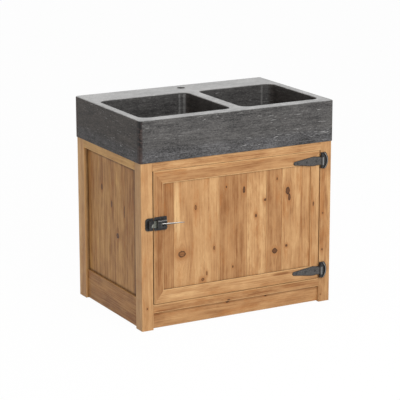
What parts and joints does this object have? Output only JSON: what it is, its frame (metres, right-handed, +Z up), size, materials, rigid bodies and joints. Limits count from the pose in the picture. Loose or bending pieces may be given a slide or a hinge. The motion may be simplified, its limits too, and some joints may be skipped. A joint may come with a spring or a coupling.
{
  "type": "kitchen base cabinet",
  "caption": "Pine kitchen base cabinet with one framed door on iron strap hinges and a sprung lever latch, carrying a carved stone double sink.",
  "frame": {"origin": "on the floor under the middle of the whole object, hardware included", "axes": "+Z up, -Y out of the door side, +X to the right as seen from the door side"},
  "size_m": [0.9, 0.6324, 0.868],
  "materials": {
    "pine_frame": "waxed",
    "pine_panel": "waxed",
    "pine_inside": "bare",
    "black_iron": "blackened, worn at the edges",
    "worn_steel": "worn bright",
    "stone": "honed rim, split and brushed faces"
  },
  "bodies": {
    "carcass": {"front_post_left": "pine_frame", "front_post_right": "pine_frame", "back_post_left": "pine_frame", "back_post_right": "pine_frame", "front_top_rail": "pine_frame", "front_bottom_rail": "pine_frame", "plinth_board": "pine_frame", "side_top_rail_left": "pine_frame", "side_top_rail_right": "pine_frame", "side_bottom_board_left": "pine_frame", "side_bottom_board_right": "pine_frame", "side_board_left_1": "pine_panel", "side_board_left_2": "pine_panel", "side_board_left_3": "pine_panel", "side_board_left_4": "pine_panel", "side_board_right_1": "pine_panel", "side_board_right_2": "pine_panel", "side_board_right_3": "pine_panel", "side_board_right_4": "pine_panel", "back_top_rail": "pine_frame", "back_middle_rail": "pine_frame", "back_bottom_rail": "pine_frame", "back_boards": "pine_inside", "floor_boards": "pine_inside", "floor_batten_left": "pine_inside", "floor_batten_right": "pine_inside", "sink_bearer": "pine_inside", "door_stop": "pine_inside", "hinge_leaf_upper": "black_iron", "hinge_leaf_lower": "black_iron", "hinge_pin_upper": "black_iron", "hinge_pin_lower": "black_iron", "leaf_screws": "black_iron", "keeper": "black_iron", "keeper_screws": "black_iron", "stone_sink": "stone"},
    "door": {"door_stile_latch": "pine_frame", "door_stile_hinge": "pine_frame", "door_top_rail": "pine_frame", "door_bottom_rail": "pine_frame", "door_board_1": "pine_panel", "door_board_2": "pine_panel", "door_board_3": "pine_panel", "door_board_4": "pine_panel", "door_board_5": "pine_panel", "door_board_6": "pine_panel", "hinge_strap_upper": "black_iron", "hinge_strap_lower": "black_iron", "strap_screws": "black_iron", "latch_case": "black_iron", "latch_back_sheet": "worn_steel", "latch_spring": "worn_steel", "lever_pin": "black_iron", "latch_screws": "black_iron"},
    "lever": {"latch_lever": "worn_steel"},
    "bolt": {"latch_bolt": "worn_steel"}
  },
  "joints": [
    {"name": "door_swing", "type": "hinge", "parent": "carcass", "child": "door", "pos_m": [0.395, -0.29071, 0.443], "axis": [0, 0, 1], "range_deg": [0, 170]},
    {"name": "lever_pull", "type": "hinge", "parent": "door", "child": "lever", "pos_m": [-0.363, -0.29492, 0.443], "axis": [0, 0, -1], "range_deg": [0, 35], "stiffness_Nm_per_rad": 0.6, "springref_deg": -17.19},
    {"name": "bolt_slide", "type": "slide", "parent": "door", "child": "bolt", "axis": [1, 0, 0], "range_m": [0, 0.0062], "deforming": ["latch_spring"]}
  ],
  "couplings": [
    {"joint": "bolt_slide", "follows": "lever_pull", "m_per_rad": 0.009822}
  ]
}
